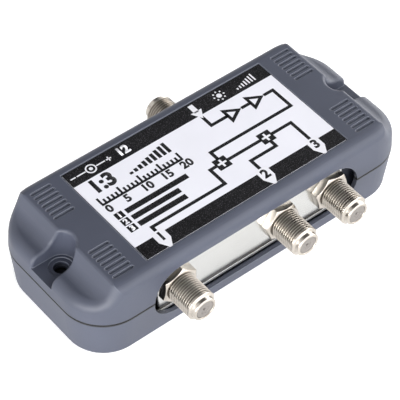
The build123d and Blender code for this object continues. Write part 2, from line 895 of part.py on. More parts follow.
def build_nodes():
    """Every sub-part under its name."""
    nodes = {
        "upper_cover": upper_cover(),
        "lower_base": lower_base(),
        "case_screws": Compound(children=case_screws()),
        "label": label(),
        "can_frame": can_frame(),
        "can_top_lid": can_lid(can_top, -1),
        "can_bottom_lid": can_lid(can_bottom, 1),
        "circuit_board": circuit_board(),
        "dc_jack_body": dc_jack_body(),
        "dc_jack_pin": dc_jack_pin(),
        "dc_jack_spring": dc_jack_spring(),
        "gain_trimmer_body": gain_trimmer_body(),
        "gain_trimmer_rotor": gain_trimmer_rotor(),
        "status_led": status_led(),
        "led_leads": Compound(children=led_leads()),
    }
    insulator = connector_insulator()
    contact = connector_contact()
    for name, place in output_shares.items():
        nodes[name + "_body"] = to_front(connector_body(hexagon_angles[name]), place)
        nodes[name + "_insulator"] = to_front(insulator, place)
        nodes[name + "_contact"] = to_front(contact, place)
    nodes["input_body"] = to_rear(connector_body(hexagon_angles["input"]), input_share)
    nodes["input_insulator"] = to_rear(insulator, input_share)
    nodes["input_contact"] = to_rear(contact, input_share)
    nodes.update(board_parts())
    return nodes


def board_parts():
    """The parts soldered on the board."""
    chip_sizes = (chip_length, chip_width, chip_height, chip_tab_length, chip_tab_thickness)
    regulator_sizes = (regulator_length, regulator_width, regulator_height)
    regulator_tab = (regulator_tab_length, regulator_tab_thickness)
    first, second = [board_spot(*share) for share in splitter_shares]
    parts = {
        "voltage_regulator": chip(*board_spot(*regulator_share), *regulator_sizes, *regulator_tab),
        "input_amplifier": chip(*board_spot(*amplifier_shares[0]), *chip_sizes),
        "output_amplifier": chip(*board_spot(*amplifier_shares[1]), *chip_sizes),
        "first_splitter_core": binocular_core(*first),
        "second_splitter_core": binocular_core(*second),
        "splitter_windings": Compound(children=[core_winding(*first), core_winding(*second)]),
        "supply_capacitor": supply_capacitor(*board_spot(*supply_capacitor_share)),
        "supply_choke": supply_choke(*board_spot(*choke_share)),
        "choke_winding": choke_winding(*board_spot(*choke_share)),
        "reverse_diode": reverse_diode(*board_spot(*diode_share)),
    }
    capacitors = [board_spot(*share) for share in capacitor_shares]
    resistors = [board_spot(*share) for share in resistor_shares]
    parts["coupling_capacitors"] = Compound(children=chips_in_rows(capacitor_chip, capacitors))
    parts["chip_resistors"] = Compound(children=chips_in_rows(resistor_chip, resistors))
    return parts


os.makedirs("parts", exist_ok=True)
for name, solid in build_nodes().items():
    export_step(solid, os.path.join("parts", name + ".step"))
    print(name, round(solid.volume, 1))
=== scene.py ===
import bpy
import math
from mathutils import Matrix, Vector


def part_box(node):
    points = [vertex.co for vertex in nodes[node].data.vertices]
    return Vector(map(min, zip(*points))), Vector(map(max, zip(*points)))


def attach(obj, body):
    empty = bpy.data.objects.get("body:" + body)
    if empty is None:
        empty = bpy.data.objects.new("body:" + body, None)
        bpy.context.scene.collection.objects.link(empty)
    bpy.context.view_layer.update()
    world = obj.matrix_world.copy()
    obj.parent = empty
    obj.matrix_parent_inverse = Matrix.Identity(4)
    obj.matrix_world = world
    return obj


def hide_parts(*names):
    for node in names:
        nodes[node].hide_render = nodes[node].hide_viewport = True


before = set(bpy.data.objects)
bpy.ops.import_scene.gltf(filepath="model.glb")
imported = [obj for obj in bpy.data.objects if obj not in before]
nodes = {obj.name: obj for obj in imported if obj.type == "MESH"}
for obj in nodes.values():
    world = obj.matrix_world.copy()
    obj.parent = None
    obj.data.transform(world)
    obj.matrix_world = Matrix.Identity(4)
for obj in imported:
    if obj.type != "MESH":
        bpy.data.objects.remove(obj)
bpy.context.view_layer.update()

# The studio: a pale paper sweep under the unit, in a room with a white backdrop low all round
# and a dark ceiling. Five oblong soft lights stand round it, and the camera is where the
# photograph was taken from, high at the left front corner.
MM = 0.001
camera_place = Vector((-252.37, -296.91, 447.02)) * MM
camera_azimuth = math.radians(-40.18)
camera_elevation = math.radians(48.3)
camera_roll = math.radians(1.42)
camera_lens = 180.05
camera_sensor = 36.0
camera_near = 0.01
unit_middle = (0.0, 0.0, 0.01)
unit_foot = (0.0, 0.0, 0.0)
plain_white = (1.0, 1.0, 1.0, 1.0)
room_light = 0.6
backdrop_top = 0.14
ceiling_foot = 0.46
ceiling_color = (0.11, 0.112, 0.12, 1.0)
sweep_size = 6.0
sweep_gap = 0.05 * MM
sweep_glow = 0.42
paper_color = (0.92, 0.92, 0.92, 1.0)
paper_roughness = 0.9
paper_shine = 0.1

back = Vector((
    math.sin(camera_azimuth) * math.cos(camera_elevation),
    -math.cos(camera_azimuth) * math.cos(camera_elevation),
    math.sin(camera_elevation),
))
level = Vector((math.cos(camera_azimuth), math.sin(camera_azimuth), 0.0))
upward = back.cross(level)
turned_right = level * math.cos(camera_roll) + upward * math.sin(camera_roll)
turned_up = upward * math.cos(camera_roll) - level * math.sin(camera_roll)
camera_data = bpy.data.cameras.new("camera")
camera_data.lens = camera_lens
camera_data.sensor_width = camera_sensor
camera_data.clip_start = camera_near
camera = bpy.data.objects.new("camera", camera_data)
bpy.context.scene.collection.objects.link(camera)
camera_turn = Matrix((turned_right, turned_up, back)).transposed()
camera.matrix_world = Matrix.Translation(camera_place) @ camera_turn.to_4x4()
bpy.context.scene.camera = camera
bpy.context.scene.view_settings.view_transform = "Standard"


def soft_light(name, place, aim, width, height, watts):
    """An oblong soft light at a place, turned to face a point."""
    data = bpy.data.lights.new(name, "AREA")
    data.shape = "RECTANGLE"
    data.size = width
    data.size_y = height
    data.energy = watts
    lamp = bpy.data.objects.new(name, data)
    bpy.context.scene.collection.objects.link(lamp)
    lamp.location = place
    lamp.rotation_euler = (Vector(aim) - Vector(place)).to_track_quat("-Z", "Y").to_euler()


soft_light("left_light", place=(-0.8, -0.3, 0.36), aim=unit_middle, width=1.3, height=0.7, watts=5.0)
soft_light("low_light", place=(-0.85, -0.5, 0.13), aim=unit_middle, width=1.2, height=0.24, watts=10.5)
soft_light("front_light", place=(0.2, -0.85, 0.45), aim=unit_middle, width=1.5, height=0.86, watts=10.6)
soft_light("rear_light", place=(-0.44, 0.52, 0.66), aim=unit_foot, width=0.9, height=0.7, watts=2.2)
soft_light("right_light", place=(0.84, 0.0, 0.32), aim=unit_middle, width=1.1, height=0.62, watts=10.0)


def add_node(tree, kind, inputs, **settings):
    """Add a node with its settings. An input is a plain value or an output of an earlier node."""
    made = tree.nodes.new(kind)
    for name, value in settings.items():
        setattr(made, name, value)
    for name, value in inputs.items():
        if isinstance(value, bpy.types.NodeSocket):
            tree.links.new(value, made.inputs[name])
        else:
            made.inputs[name].default_value = value
    return made


def combined(tree, operation, first, second):
    """The output of a math node that takes two numbers or outputs."""
    return add_node(tree, "ShaderNodeMath", {0: first, 1: second}, operation=operation).outputs[0]


sky = bpy.data.worlds.new("sky")
bpy.context.scene.world = sky
sky.use_nodes = True
sky_tree = sky.node_tree
sky_tree.nodes.clear()
sky_path = add_node(sky_tree, "ShaderNodeLightPath", {}).outputs
sky_seen = combined(sky_tree, "MAXIMUM", sky_path["Is Camera Ray"], sky_path["Is Glossy Ray"])
sky_seen = combined(sky_tree, "MAXIMUM", sky_seen, sky_path["Is Transmission Ray"])
sky_strength = add_node(sky_tree, "ShaderNodeMapRange", {"Value": sky_seen, "To Min": room_light})
sky_place = add_node(sky_tree, "ShaderNodeTexCoord", {})
sky_parts = add_node(sky_tree, "ShaderNodeSeparateXYZ", {"Vector": sky_place.outputs["Generated"]})
sky_ramp = add_node(sky_tree, "ShaderNodeValToRGB", {"Fac": sky_parts.outputs["Z"]})
backdrop, ceiling = sky_ramp.color_ramp.elements
backdrop.position = backdrop_top
backdrop.color = plain_white
ceiling.position = ceiling_foot
ceiling.color = ceiling_color
sky_shade = add_node(sky_tree, "ShaderNodeBackground", {
    "Color": sky_ramp.outputs["Color"],
    "Strength": sky_strength.outputs["Result"],
})
add_node(sky_tree, "ShaderNodeOutputWorld", {"Surface": sky_shade.outputs["Background"]})


def clear_selection():
    """Leave nothing selected, so that an operator works on the new piece alone."""
    bpy.ops.object.select_all(action="DESELECT")


clear_selection()
bpy.ops.mesh.primitive_plane_add(size=sweep_size, location=(0.0, 0.0, -sweep_gap))
sweep = bpy.context.active_object
sweep.name = "sweep"
paper = bpy.data.materials.new("paper")
paper.use_nodes = True
paper_tree = paper.node_tree
paper_shader = paper_tree.nodes["Principled BSDF"]
paper_shader.inputs["Base Color"].default_value = paper_color
paper_shader.inputs["Roughness"].default_value = paper_roughness
paper_shader.inputs["Specular IOR Level"].default_value = paper_shine
paper_shader.inputs["Emission Color"].default_value = plain_white
paper_path = add_node(paper_tree, "ShaderNodeLightPath", {}).outputs
paper_seen = combined(paper_tree, "MAXIMUM", paper_path["Is Camera Ray"], paper_path["Is Glossy Ray"])
paper_glow = combined(paper_tree, "MULTIPLY", paper_seen, sweep_glow)
paper_tree.links.new(paper_glow, paper_shader.inputs["Emission Strength"])
sweep.data.materials.append(paper)

# The lower base: an open tray moulded in blue-grey plastic, its satin skin from a finely
# eroded tool. It carries the can, and four screws through its floor hold the cover. Its edges carry a
# painted highlight, and painted shade lies in the parting line and in the grooves of the cover.
grain_detail = 3.0
grain_height = 0.05 * MM
cloud_scale = 70.0
cloud_detail = 4.0
cloud_low = 0.3
cloud_high = 0.7
edge_samples = 6
edge_start = 0.995
edge_full = 0.85
mix_first = 6
mix_second = 7
mix_result = 2
parting_height = 14.35 * MM
seam_drop = 0.15 * MM
seam_reach = 0.7 * MM
seam_brightness = 0.03
groove_depth = 0.45 * MM
groove_reach = 0.12 * MM
groove_brightness = 0.92
full_shade_share = 0.4


def seen(red, green, blue):
    """A picture's colour, 0 to 255, turned by the sRGB curve into a shader's linear colour."""
    linear = []
    for part in (red, green, blue):
        share = part / 255
        linear.append(share / 12.92 if share <= 0.04045 else ((share + 0.055) / 1.055) ** 2.4)
    return (*linear, 1.0)


def mixed(tree, share, first, second):
    """The output of a node that mixes two colours. Its sockets share names, so they go by number."""
    inputs = {"Factor": share, mix_first: first, mix_second: second}
    return add_node(tree, "ShaderNodeMix", inputs, data_type="RGBA").outputs[mix_result]


def make_surface_group():
    """A node group for a surface's drift of tone and gloss and its grain, with a painted highlight on its
    edges.
    """
    group = bpy.data.node_groups.new("surface_unevenness_and_edge_highlight", "ShaderNodeTree")
    for direction, name, kind in (
        ("INPUT", "Color", "NodeSocketColor"),
        ("INPUT", "Edge Color", "NodeSocketColor"),
        ("INPUT", "Roughness", "NodeSocketFloat"),
        ("INPUT", "Grain Size", "NodeSocketFloat"),
        ("INPUT", "Grain Depth", "NodeSocketFloat"),
        ("INPUT", "Drift", "NodeSocketFloat"),
        ("INPUT", "Edge", "NodeSocketFloat"),
        ("INPUT", "Edge Width", "NodeSocketFloat"),
        ("OUTPUT", "Color", "NodeSocketColor"),
        ("OUTPUT", "Roughness", "NodeSocketFloat"),
        ("OUTPUT", "Normal", "NodeSocketVector"),
    ):
        group.interface.new_socket(name, in_out=direction, socket_type=kind)
    given = add_node(group, "NodeGroupInput", {}).outputs
    place = add_node(group, "ShaderNodeTexCoord", {}).outputs["Object"]
    grain_rate = combined(group, "DIVIDE", 1.0, given["Grain Size"])
    fine = {"Vector": place, "Scale": grain_rate, "Detail": grain_detail}
    broad = {"Vector": place, "Scale": cloud_scale, "Detail": cloud_detail}
    grain = add_node(group, "ShaderNodeTexNoise", fine)
    cloud = add_node(group, "ShaderNodeTexNoise", broad)
    swing = add_node(group, "ShaderNodeMapRange", {
        "Value": cloud.outputs["Fac"],
        "From Min": cloud_low,
        "From Max": cloud_high,
        "To Min": -1.0,
        "To Max": 1.0,
    })
    drift = combined(group, "MULTIPLY", swing.outputs["Result"], given["Drift"])
    brightness = combined(group, "ADD", 1.0, drift)
    tint = add_node(group, "ShaderNodeHueSaturation", {"Color": given["Color"], "Value": brightness})
    rounded = add_node(group, "ShaderNodeBevel", {"Radius": given["Edge Width"]}, samples=edge_samples)
    flat = add_node(group, "ShaderNodeNewGeometry", {})
    both_normals = {0: rounded.outputs["Normal"], 1: flat.outputs["Normal"]}
    agreement = add_node(group, "ShaderNodeVectorMath", both_normals, operation="DOT_PRODUCT")
    # Painted highlight: near a rounded edge the colour is mixed towards the highlight colour, for the light
    # that edges catch.
    edge_highlight = add_node(group, "ShaderNodeMapRange", {
        "Value": agreement.outputs["Value"],
        "From Min": edge_start,
        "From Max": edge_full,
    })
    edge_highlight_share = combined(group, "MULTIPLY", edge_highlight.outputs["Result"], given["Edge"])
    relief = add_node(group, "ShaderNodeBump", {
        "Strength": given["Grain Depth"],
        "Distance": grain_height,
        "Height": grain.outputs["Fac"],
        "Normal": rounded.outputs["Normal"],
    })
    add_node(group, "NodeGroupOutput", {
        "Color": mixed(group, edge_highlight_share, tint.outputs["Color"], given["Edge Color"]),
        "Roughness": combined(group, "MULTIPLY", given["Roughness"], brightness),
        "Normal": relief.outputs["Normal"],
    })
    return group


surface_group = make_surface_group()


def shader_of(material):
    """The shader of a material."""
    return material.node_tree.nodes["Principled BSDF"]


def fed(material, socket):
    """The output that feeds a socket of a material's shader so far."""
    return shader_of(material).inputs[socket].links[0].from_socket


def feed(material, socket, output):
    """Let an output feed a socket of a material's shader."""
    material.node_tree.links.new(output, shader_of(material).inputs[socket])


def finish(
    name, color, highlight_color, roughness, grain_size, grain_depth,
    drift=0.08, edge_highlight=0.5, edge_width=0.3 * MM, metallic=0.0,
):
    """A material whose shader takes its colour, roughness and normal from the surface group."""
    made = bpy.data.materials.new(name)
    made.use_nodes = True
    uneven = add_node(made.node_tree, "ShaderNodeGroup", {
        "Color": color,
        "Edge Color": highlight_color,
        "Roughness": roughness,
        "Grain Size": grain_size,
        "Grain Depth": grain_depth,
        "Drift": drift,
        "Edge": edge_highlight,
        "Edge Width": edge_width,
    }, node_tree=surface_group)
    shader_of(made).inputs["Metallic"].default_value = metallic
    feed(made, "Base Color", uneven.outputs["Color"])
    feed(made, "Roughness", uneven.outputs["Roughness"])
    feed(made, "Normal", uneven.outputs["Normal"])
    return made


def dress(material, *names):
    """Give a material to CAD nodes."""
    for name in names:
        mesh = nodes[name].data
        mesh.materials.clear()
        mesh.materials.append(material)


def darken(material, factor):
    """Multiply the brightness of a material by an output that changes over the surface."""
    inputs = {"Color": fed(material, "Base Color"), "Value": factor}
    shaded = add_node(material.node_tree, "ShaderNodeHueSaturation", inputs)
    feed(material, "Base Color", shaded.outputs["Color"])


def surface_height(material):
    """The output that gives how high a point of the surface lies."""
    place = add_node(material.node_tree, "ShaderNodeTexCoord", {}).outputs["Object"]
    return add_node(material.node_tree, "ShaderNodeSeparateXYZ", {"Vector": place}).outputs["Z"]


def level_shade(tree, height, level, reach, brightness):
    """A factor that falls from one to a brightness near a level, as painted shade in a groove."""
    away = combined(tree, "SUBTRACT", height, level)
    distance = add_node(tree, "ShaderNodeMath", {0: away}, operation="ABSOLUTE")
    return add_node(tree, "ShaderNodeMapRange", {
        "Value": distance.outputs[0],
        "From Min": reach * full_shade_share,
        "From Max": reach,
        "To Min": brightness,
    }, interpolation_type="SMOOTHSTEP").outputs["Result"]


cover_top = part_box("upper_cover")[1].z
casing = finish(
    "casing", seen(67, 71, 85), seen(128, 133, 146), roughness=0.5,
    grain_size=0.35 * MM, grain_depth=0.35, drift=0.06, edge_highlight=0.75, edge_width=0.4 * MM,
)
casing_tree = casing.node_tree
# Painted shade: the colour is darkened along the parting line and on the floors of the cover's grooves.
casing_height = surface_height(casing)
seam_middle = parting_height - seam_drop
seam_shade = level_shade(casing_tree, casing_height, seam_middle, seam_reach, seam_brightness)
groove_floor = cover_top - groove_depth
groove_shade = level_shade(casing_tree, casing_height, groove_floor, groove_reach, groove_brightness)
darken(casing, combined(casing_tree, "MULTIPLY", seam_shade, groove_shade))
dress(casing, "lower_base")

# Case screws: zinc-plated self-tapping screws with a cross recess, driven from below through
# the base into the posts of the cover.
zinc = finish(
    "zinc", seen(176, 178, 180), seen(214, 214, 212), roughness=0.32,
    grain_size=0.2 * MM, grain_depth=0.3, drift=0.12, edge_width=0.1 * MM, metallic=1.0,
)
dress(zinc, "case_screws")

# The screening can: a folded tinplate wall with two pressed lids. The wall that shows in the
# windows is bright and nearly white, a little wavy as thin sheet is, and painted darker at its
# foot, a painted reflection of the dark gap where the rim of the bottom lid stands in front of it.
wave_scale = 90.0
wave_detail = 1.0
wave_strength = 0.5
wave_height = 0.4 * MM
foot_shade_height = 2.6 * MM
foot_brightness = 0.22
wall_tin = finish(
    "tinplate_wall", seen(198, 198, 196), seen(240, 240, 238), roughness=0.22,
    grain_size=0.5 * MM, grain_depth=0.08, drift=0.04, edge_highlight=0.4, edge_width=0.15 * MM, metallic=1.0,
)
wall_tree = wall_tin.node_tree
wall_waves = add_node(wall_tree, "ShaderNodeTexNoise", {
    "Vector": add_node(wall_tree, "ShaderNodeTexCoord", {}).outputs["Object"],
    "Scale": wave_scale,
    "Detail": wave_detail,
})
wall_relief = add_node(wall_tree, "ShaderNodeBump", {
    "Strength": wave_strength,
    "Distance": wave_height,
    "Height": wall_waves.outputs["Fac"],
    "Normal": fed(wall_tin, "Normal"),
})
feed(wall_tin, "Normal", wall_relief.outputs["Normal"])
# Painted reflection: the wall's colour darkens towards its foot, for the dark gap that the wall reflects
# there.
rim_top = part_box("can_bottom_lid")[1].z
foot_shade = add_node(wall_tree, "ShaderNodeMapRange", {
    "Value": surface_height(wall_tin),
    "From Min": rim_top,
    "From Max": rim_top + foot_shade_height,
    "To Min": foot_brightness,
}, interpolation_type="SMOOTHSTEP")
darken(wall_tin, foot_shade.outputs["Result"])
dress(wall_tin, "can_frame")
# The lids' edges take a strong painted highlight, so that their rims show as bright lines.
lid_tin = finish(
    "tinplate_lid", seen(222, 222, 220), seen(250, 250, 248), roughness=0.34,
    grain_size=0.5 * MM, grain_depth=0.08, drift=0.04, edge_highlight=1.0, edge_width=0.2 * MM, metallic=1.0,
)
dress(lid_tin, "can_top_lid", "can_bottom_lid")

# The circuit board and what is soldered on it, closed in by the can: a green laminate with
# ferrite cores and a ferrite choke, enamelled windings, black moulded amplifiers, regulator
# and diode, ceramic chips, and a supply capacitor in a drawn aluminium cup.
laminate = finish(
    "board_laminate", seen(34, 92, 58), seen(150, 140, 96), roughness=0.35,
    grain_size=0.15 * MM, grain_depth=0.3, drift=0.1, edge_highlight=0.8,
)
dress(laminate, "circuit_board")
ferrite = finish(
    "ferrite", seen(62, 62, 64), seen(96, 95, 94), roughness=0.6,
    grain_size=0.1 * MM, grain_depth=0.6, drift=0.15,
)
dress(ferrite, "first_splitter_core", "second_splitter_core", "supply_choke")
moulded = finish(
    "moulded_black", seen(34, 34, 36), seen(70, 70, 72), roughness=0.45,
    grain_size=0.12 * MM, grain_depth=0.4,
)
dress(moulded, "voltage_regulator", "input_amplifier", "output_amplifier", "reverse_diode")
ceramic = finish(
    "ceramic", seen(172, 148, 112), seen(206, 204, 198), roughness=0.5,
    grain_size=0.1 * MM, grain_depth=0.3, edge_highlight=0.3,
)
dress(ceramic, "coupling_capacitors", "chip_resistors")
copper = finish(
    "enamelled_copper", seen(176, 92, 46), seen(214, 140, 90), roughness=0.25,
    grain_size=0.1 * MM, grain_depth=0.2, metallic=0.9,
)
dress(copper, "splitter_windings", "choke_winding")
aluminium = finish(
    "drawn_aluminium", seen(196, 198, 202), seen(226, 226, 228), roughness=0.28,
    grain_size=0.2 * MM, grain_depth=0.2, metallic=1.0,
)
dress(aluminium, "supply_capacitor")

# The coaxial ports: turned brass bodies with a hexagon and a rolled thread, nickel plated and
# warm in tone, pressed through the wall of the can and soldered there. Each has a grey moulded
# core in its mouth with a bronze socket behind it. They are modelled in millimetres.
thread_radius = 4.76
thread_root = 4.2
thread_pitch = 0.794
thread_turns = 11
thread_crest_drop = 0.01
thread_root_rise = 0.02
root_end_share = 0.12
crest_start_share = 0.42
crest_end_share = 0.58
root_start_share = 0.88
thread_overlap = 0.2
hexagon_width = 11.0
hexagon_depth = 2.7
hexagon_face = 5.3
hexagon_bevel = 0.6
hexagon_bore = 3.6
hexagon_corners = 6
hexagon_turns = {"output_a": 22.0, "output_b": 52.0, "output_c": 45.7, "input": 36.0}
facet_half_angle = 30.0
crown_spare = 1.0
spigot_radius = 4.0
spigot_depth = 1.3
spigot_overlap = 0.1
barrel_rise = 0.01
land_start = 10.94
land_taper = 0.28
land_end = 11.6
nose_start = 12.0
nose_end = 13.4
nose_radius = 3.85
nose_chamfer = 0.3
mouth_radius = 2.95
mouth_chamfer = 0.12
flat_distance = 4.5
flat_gap = 0.05
pin_radius = 0.42
dish_radius = 1.5
dish_depth = 0.2
dish_taper = 0.1
funnel_depth = 0.24
socket_depth = 1.6
socket_radius = 0.83
core_chamfer = 0.12
turning_steps = 96
merge_distance = 0.0001
softened_width = 0.07
softened_segments = 2
softened_angle = math.radians(24)
smooth_angle = math.radians(32)
hollow_samples = 6
hollow_closed = 0.35
hollow_open = 0.95
hollow_reach = 0.6 * MM
hollow_brightness = 0.55


def keep_only(piece):
    """Select one piece and make it the active one."""
    clear_selection()
    piece.select_set(True)
    bpy.context.view_layer.objects.active = piece


def apply_modifiers(piece):
    """Apply every modifier of a piece, from the first to the last."""
    keep_only(piece)
    for modifier in list(piece.modifiers):
        bpy.ops.object.modifier_apply(modifier=modifier.name)


def settle(piece):
    """Put a piece's place, turn and scale into its mesh."""
    keep_only(piece)
    bpy.ops.object.transform_apply(location=True, rotation=True, scale=True)


def join(first, *others):
    """Join pieces into the first one."""
    keep_only(first)
    for piece in others:
        piece.select_set(True)
    bpy.ops.object.join()


def own_copy(piece, name):
    """A copy of a piece, with a mesh of its own."""
    twin = piece.copy()
    twin.data = piece.data.copy()
    twin.name = name
    bpy.context.scene.collection.objects.link(twin)
    return twin


def drawn_line(name, points):
    """A line in the XZ plane, drawn by extruding one vertex from point to point."""
    clear_selection()
    bpy.ops.mesh.primitive_plane_add(size=1.0)
    line = bpy.context.active_object
    line.name = name
    bpy.ops.object.mode_set(mode="EDIT")
    bpy.ops.mesh.merge(type="CENTER")
    bpy.ops.transform.translate(value=(points[0][0], 0.0, points[0][1]))
    for (x, z), (next_x, next_z) in zip(points, points[1:]):
        bpy.ops.mesh.extrude_region_move(TRANSFORM_OT_translate={"value": (next_x - x, 0.0, next_z - z)})
    bpy.ops.object.mode_set(mode="OBJECT")
    return line


def merge_all():
    """In edit mode, merge the doubles of a whole mesh and turn its faces outwards."""
    bpy.ops.mesh.select_all(action="SELECT")
    bpy.ops.mesh.remove_doubles(threshold=merge_distance)
    bpy.ops.mesh.normals_make_consistent(inside=False)


def turned(name, points):
    """A closed section turned about Z into a ring-shaped solid."""
    piece = drawn_line(name, points + points[:1])
    bpy.ops.object.mode_set(mode="EDIT")
    bpy.ops.mesh.select_all(action="SELECT")
    bpy.ops.mesh.remove_doubles(threshold=merge_distance)
    bpy.ops.mesh.spin(steps=turning_steps, angle=math.tau, center=(0, 0, 0), axis=(0, 0, 1))
    merge_all()
    bpy.ops.object.mode_set(mode="OBJECT")
    return piece


def soften(piece):
    """Round the corners of a piece a little, as plating does."""
    rounding = piece.modifiers.new("softened", "BEVEL")
    rounding.width = softened_width
    rounding.segments = softened_segments
    rounding.limit_method = "ANGLE"
    rounding.angle_limit = softened_angle
    apply_modifiers(piece)


def rolled_thread():
    """The helical ridge, from inside the hexagon up into the plain land."""
    crest = thread_radius - thread_crest_drop
    foot = thread_root + thread_root_rise
    ridge = [
        (thread_root, 0.0),
        (foot, root_end_share * thread_pitch),
        (crest, crest_start_share * thread_pitch),
        (crest, crest_end_share * thread_pitch),
        (foot, root_start_share * thread_pitch),
        (thread_root, thread_pitch),
    ]
    piece = drawn_line("thread", ridge)
    winding = piece.modifiers.new("winding", "SCREW")
    winding.axis = "Z"
    winding.screw_offset = thread_pitch
    winding.iterations = thread_turns
    winding.steps = turning_steps
    winding.render_steps = turning_steps
    winding.use_merge_vertices = True
    winding.merge_threshold = merge_distance
    apply_modifiers(piece)
    bpy.ops.object.mode_set(mode="EDIT")
    merge_all()
    bpy.ops.transform.translate(value=(0, 0, land_start - thread_turns * thread_pitch + thread_overlap))
    bpy.ops.object.mode_set(mode="OBJECT")
    return piece


def threaded_barrel():
    """A port body without its hexagon, along +Z from the face of the can, with two flats."""
    root = thread_root + barrel_rise
    barrel = turned("barrel", [
        (mouth_radius, -spigot_depth),
        (spigot_radius, -spigot_depth),
        (spigot_radius, spigot_overlap),
        (root, spigot_overlap),
        (root, land_start),
        (thread_radius, land_start + land_taper),
        (thread_radius, land_end),
        (nose_radius, nose_start),
        (nose_radius, nose_end - nose_chamfer),
        (nose_radius - nose_chamfer, nose_end),
        (mouth_radius + mouth_chamfer, nose_end),
        (mouth_radius, nose_end - mouth_chamfer),
    ])
    soften(barrel)
    join(barrel, rolled_thread())
    for vertex in barrel.data.vertices:
        if vertex.co.z > hexagon_depth + flat_gap:
            vertex.co.x = max(-flat_distance, min(flat_distance, vertex.co.x))
    return barrel


def hexagon_ring(turn):
    """A hexagon at its turn: a six-sided prism, its front corners turned off, its middle bored out."""
    reach = hexagon_width / 2 / math.cos(math.radians(facet_half_angle))
    slope = hexagon_bevel / (reach - hexagon_face)
    clear_selection()
    bpy.ops.mesh.primitive_cylinder_add(
        vertices=hexagon_corners, radius=reach, depth=hexagon_depth,
        location=(0, 0, hexagon_depth / 2), rotation=(0, 0, math.radians(turn + facet_half_angle)),
    )
    prism = bpy.context.active_object
    prism.name = "hexagon"
    settle(prism)
    crown = turned("crown", [
        (hexagon_bore, -crown_spare),
        (reach + crown_spare, -crown_spare),
        (reach + crown_spare, hexagon_depth - hexagon_bevel - slope * crown_spare),
        (hexagon_face, hexagon_depth),
        (hexagon_face, hexagon_depth + crown_spare),
        (hexagon_bore, hexagon_depth + crown_spare),
    ])
    shared = prism.modifiers.new("crown", "BOOLEAN")
    shared.operation = "INTERSECT"
    shared.solver = "EXACT"
    shared.object = crown
    apply_modifiers(prism)
    bpy.data.objects.remove(crown, do_unlink=True)
    soften(prism)
    return prism


def port_core(radius, length):
    """The moulded core of a port, with a dished face and a funnel that leads the pin in."""
    dish_floor = length - dish_depth
    return turned("core", [
        (socket_radius, 0.0),
        (radius, 0.0),
        (radius, length - core_chamfer),
        (radius - core_chamfer, length),
        (dish_radius, length),
        (dish_radius - dish_taper, dish_floor),
        (pin_radius + funnel_depth, dish_floor),
        (pin_radius, dish_floor - funnel_depth),
        (pin_radius, length - socket_depth),
        (socket_radius, length - socket_depth),
    ])


def set_in_place(piece, place, rear):
    """Turn a piece made along +Z in millimetres to point out of the can, at its place."""
    keep_only(piece)
    bpy.ops.object.shade_smooth_by_angle(angle=smooth_angle)
    piece.scale = (MM, MM, MM)
    piece.rotation_euler.x = -math.pi / 2 if rear else math.pi / 2
    piece.location = place
    settle(piece)


def shade_hollows(material, reach, brightness):
    """Darken a metal where its own shape closes it in: painted shade in its hollows."""
    openness = add_node(
        material.node_tree, "ShaderNodeAmbientOcclusion", {"Distance": reach},
        samples=hollow_samples, only_local=True,
    )
    shade = add_node(material.node_tree, "ShaderNodeMapRange", {
        "Value": openness.outputs["AO"],
        "From Min": hollow_closed,
        "From Max": hollow_open,
        "To Min": brightness,
    })
    darken(material, shade.outputs["Result"])


nickel = finish(
    "nickel", seen(188, 181, 172), seen(214, 208, 200), roughness=0.28,
    grain_size=0.25 * MM, grain_depth=0.12, drift=0.12, edge_highlight=0.3, edge_width=0.08 * MM, metallic=1.0,
)
# Painted shade: the nickel darkens in the roots of the thread and in its other hollows.
shade_hollows(nickel, hollow_reach, hollow_brightness)
core_plastic = finish(
    "port_core", seen(118, 113, 109), seen(152, 147, 143), roughness=0.5,
    grain_size=0.12 * MM, grain_depth=0.3,
)
bronze = finish(
    "bronze", seen(190, 158, 104), seen(222, 196, 148), roughness=0.3,
    grain_size=0.1 * MM, grain_depth=0.2, metallic=1.0,
)
core_low, core_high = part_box("output_a_insulator")
barrel = threaded_barrel()
core = port_core((core_high.x - core_low.x) / 2 / MM, (core_high.y - core_low.y) / MM)
for port, hexagon_turn in hexagon_turns.items():
    low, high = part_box(port + "_body")
    core_low, core_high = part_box(port + "_insulator")
    middle_x = (low.x + high.x) / 2
    middle_z = (low.z + high.z) / 2
    rear = port == "input"
    can_face = low.y + spigot_depth * MM if rear else high.y - spigot_depth * MM
    core_foot = core_low.y if rear else core_high.y
    body = own_copy(barrel, port + "_port")
    join(body, hexagon_ring(hexagon_turn))
    set_in_place(body, (middle_x, can_face, middle_z), rear)
    body.data.materials.append(nickel)
    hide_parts(port + "_body")
    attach(body, "base")
    plug = own_copy(core, port + "_core")
    set_in_place(plug, (middle_x, core_foot, middle_z), rear)
    plug.data.materials.append(core_plastic)
    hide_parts(port + "_insulator")
    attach(plug, "base")
    dress(bronze, port + "_contact")
for pattern in (barrel, core):
    bpy.data.objects.remove(pattern, do_unlink=True)

# The inlet for the supply, the gain trimmer with its screwdriver slot, and the status lamp:
# bought-in parts with black moulded bodies, plated contacts, a white rotor, a green resin lens
# and tinned legs, soldered to the board behind the rear window.
resin_clearness = 0.4
dress(moulded, "dc_jack_body", "gain_trimmer_body")
dress(nickel, "dc_jack_pin", "dc_jack_spring")
knob_white = finish(
    "trimmer_white", seen(222, 218, 206), seen(240, 238, 230), roughness=0.4,
    grain_size=0.1 * MM, grain_depth=0.2,
)
dress(knob_white, "gain_trimmer_rotor")
resin = finish(
    "lamp_resin", seen(70, 168, 74), seen(120, 206, 120), roughness=0.12,
    grain_size=0.3 * MM, grain_depth=0.05,
)
shader_of(resin).inputs["Transmission Weight"].default_value = resin_clearness
dress(resin, "status_led")
wire = finish(
    "tinned_wire", seen(200, 200, 198), seen(226, 226, 224), roughness=0.3,
    grain_size=0.1 * MM, grain_depth=0.2, metallic=1.0,
)
dress(wire, "led_leads")

# The upper cover: the top shell, moulded in the same plastic as the base, with its scoops, its
# grooves and the recess for the label. It sits on the base along the parting line, and the
# case screws reach up into its posts.
dress(casing, "upper_cover")

